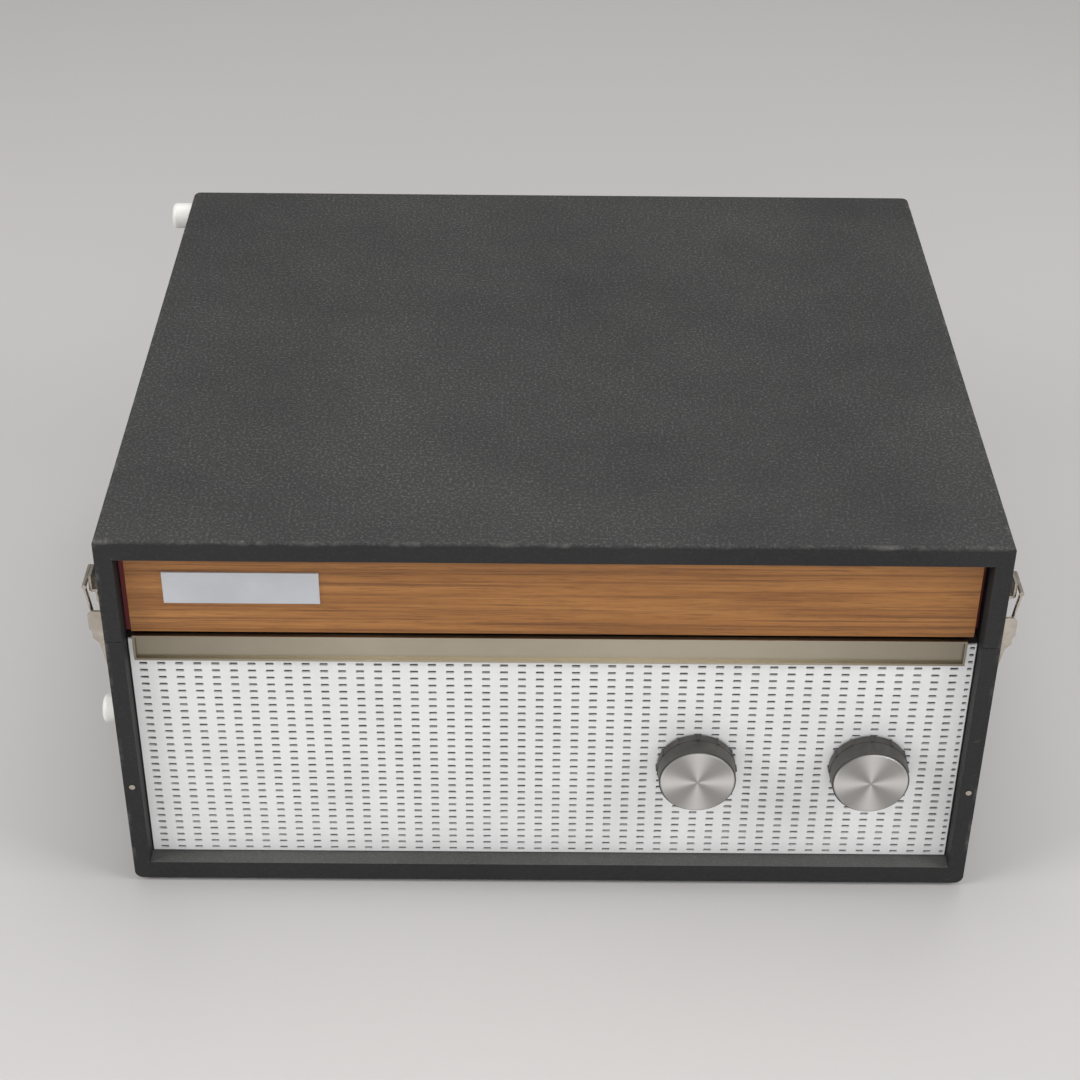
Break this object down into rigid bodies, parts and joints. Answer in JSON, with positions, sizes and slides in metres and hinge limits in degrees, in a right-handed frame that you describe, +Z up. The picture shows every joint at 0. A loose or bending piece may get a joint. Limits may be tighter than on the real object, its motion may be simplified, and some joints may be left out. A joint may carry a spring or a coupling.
{
  "type": "portable record player",
  "caption": "Portable record player: covered case with hinged lid, slotted grille, teak fascia, control knobs, turntable, pickup arm, side latches and carrying handle.",
  "frame": {"origin": "centre of the footprint on the surface that the pads stand on", "axes": "+X to the right seen from the front, front faces -Y, +Z up"},
  "size_m": [0.424, 0.354, 0.2],
  "materials": {
    "leathercloth": "grained black cloth",
    "grille_white": "satin",
    "aluminium": "polished",
    "veneer": "satin teak",
    "maroon": "matte",
    "plywood": "raw",
    "dark_plastic": "matte",
    "white_plastic": "gloss",
    "cream_plastic": "gloss",
    "nickel": "aged",
    "steel": "satin",
    "deck_paint": "gloss",
    "rubber": "matte",
    "paper": "matte",
    "copper": "enamelled",
    "glass": "clear",
    "cloth": "matte",
    "hardboard": "smooth"
  },
  "bodies": {
    "base": {"base_cabinet": "leathercloth", "base_feet": "rubber", "baffle_board": "plywood", "speaker_grille": "grille_white", "trim_channel": "aluminium", "edge_pins": "nickel", "side_feet": "white_plastic", "rear_vent_panel": "hardboard", "cord_grommet": "rubber", "speaker_cone": "paper", "speaker_frame": "steel", "speaker_magnet": "steel", "control_pots": "steel", "hinge_base_leaves": "nickel", "latch_plates": "nickel", "handle_brackets": "nickel", "motorboard": "plywood", "board_battens": "plywood", "deck_mounts": "rubber", "deck_screws": "nickel", "unit_plate": "deck_paint", "spindle_post": "steel", "motor_stator": "steel", "motor_coil": "copper", "motor_brackets": "aluminium", "arm_pedestal": "cream_plastic", "arm_rest": "cream_plastic", "amp_chassis": "aluminium", "valves": "glass", "output_transformer": "steel", "smoothing_capacitor": "aluminium"},
    "lid": {"lid_shell": "leathercloth", "lid_lining": "cloth", "fascia_board": "maroon", "fascia_panel": "veneer", "badge_plate": "aluminium", "lid_foot": "white_plastic", "hinge_lid_leaves": "nickel", "latch_strikes": "nickel"},
    "platter": {"platter": "steel", "platter_mat": "rubber"},
    "idler_arm": {"idler_arm": "steel"},
    "idler_wheel": {"idler_wheel": "rubber"},
    "rotor": {"motor_rotor": "steel"},
    "gimbal": {"arm_gimbal": "cream_plastic"},
    "tonearm": {"tonearm": "cream_plastic", "arm_weight": "steel", "cartridge": "dark_plastic", "stylus": "steel"},
    "volume": {"volume_knob": "dark_plastic", "volume_cap": "aluminium"},
    "tone": {"tone_knob": "dark_plastic", "tone_cap": "aluminium"},
    "speed": {"speed_knob": "cream_plastic"},
    "control": {"control_lever": "cream_plastic"},
    "latch_lever_left": {"latch_lever_left": "nickel"},
    "latch_lever_right": {"latch_lever_right": "nickel"},
    "latch_loop_left": {"latch_loop_left": "nickel"},
    "latch_loop_right": {"latch_loop_right": "nickel"},
    "handle": {"handle_grip": "dark_plastic"}
  },
  "joints": [
    {"name": "lid_hinge", "type": "hinge", "parent": "base", "child": "lid", "pos_m": [0, 0.17425, 0.1452], "axis": [-1, 0, 0], "range_deg": [0, 100]},
    {"name": "platter_spin", "type": "hinge", "parent": "base", "child": "platter", "pos_m": [-0.035, 0.0052, 0.13], "axis": [0, 0, -1], "continuous": true},
    {"name": "idler_swing", "type": "hinge", "parent": "base", "child": "idler_arm", "pos_m": [-0.10114, 0.01857, 0.1245], "axis": [0, 0, -1], "range_deg": [0, 3]},
    {"name": "idler_spin", "type": "hinge", "parent": "idler_arm", "child": "idler_wheel", "pos_m": [-0.11961, 0.05405, 0.134], "axis": [0, 0, -1], "continuous": true},
    {"name": "rotor_spin", "type": "hinge", "parent": "base", "child": "rotor", "pos_m": [-0.12163, 0.03099, 0.09], "axis": [0, 0, -1], "continuous": true},
    {"name": "arm_swing", "type": "hinge", "parent": "base", "child": "gimbal", "pos_m": [0.14, 0.1052, 0.144], "axis": [0, 0, -1], "range_deg": [0, 48]},
    {"name": "arm_lift", "type": "hinge", "parent": "gimbal", "child": "tonearm", "pos_m": [0.14, 0.1052, 0.158], "axis": [-1, 0, 0], "range_deg": [0, 5.5]},
    {"name": "volume_turn", "type": "hinge", "parent": "base", "child": "volume", "pos_m": [0.068, -0.165, 0.0697], "axis": [0, 1, 0], "range_deg": [-60, 240]},
    {"name": "tone_turn", "type": "hinge", "parent": "base", "child": "tone", "pos_m": [0.1486, -0.165, 0.0697], "axis": [0, 1, 0], "range_deg": [-60, 240]},
    {"name": "speed_turn", "type": "hinge", "parent": "base", "child": "speed", "pos_m": [0.06, -0.1198, 0.124], "axis": [0, 0, -1], "range_deg": [-30, 60]},
    {"name": "control_turn", "type": "hinge", "parent": "base", "child": "control", "pos_m": [0.135, -0.1278, 0.124], "axis": [0, 0, 1], "range_deg": [0, 35]},
    {"name": "latch_left", "type": "hinge", "parent": "base", "child": "latch_lever_left", "pos_m": [-0.2052, -0.1435, 0.143], "axis": [0, 1, 0], "range_deg": [0, 110]},
    {"name": "loop_left", "type": "hinge", "parent": "latch_lever_left", "child": "latch_loop_left", "pos_m": [-0.2072, -0.1435, 0.135], "axis": [0, 1, 0], "range_deg": [-132, 0]},
    {"name": "latch_right", "type": "hinge", "parent": "base", "child": "latch_lever_right", "pos_m": [0.2052, -0.1435, 0.143], "axis": [0, -1, 0], "range_deg": [0, 110]},
    {"name": "loop_right", "type": "hinge", "parent": "latch_lever_right", "child": "latch_loop_right", "pos_m": [0.2072, -0.1435, 0.135], "axis": [0, -1, 0], "range_deg": [-132, 0]},
    {"name": "handle_swing", "type": "hinge", "parent": "base", "child": "handle", "pos_m": [0.2062, 0, 0.102], "axis": [0, -1, 0], "range_deg": [0, 100]}
  ],
  "couplings": [
    {"joint": "idler_spin", "follows": "platter_spin", "ratio": 5.9},
    {"joint": "rotor_spin", "follows": "platter_spin", "ratio": -41.404},
    {"joint": "idler_swing", "follows": "control_turn", "ratio": 0.0857},
    {"joint": "loop_left", "follows": "latch_left", "ratio": -1.2},
    {"joint": "loop_right", "follows": "latch_right", "ratio": -1.2}
  ]
}
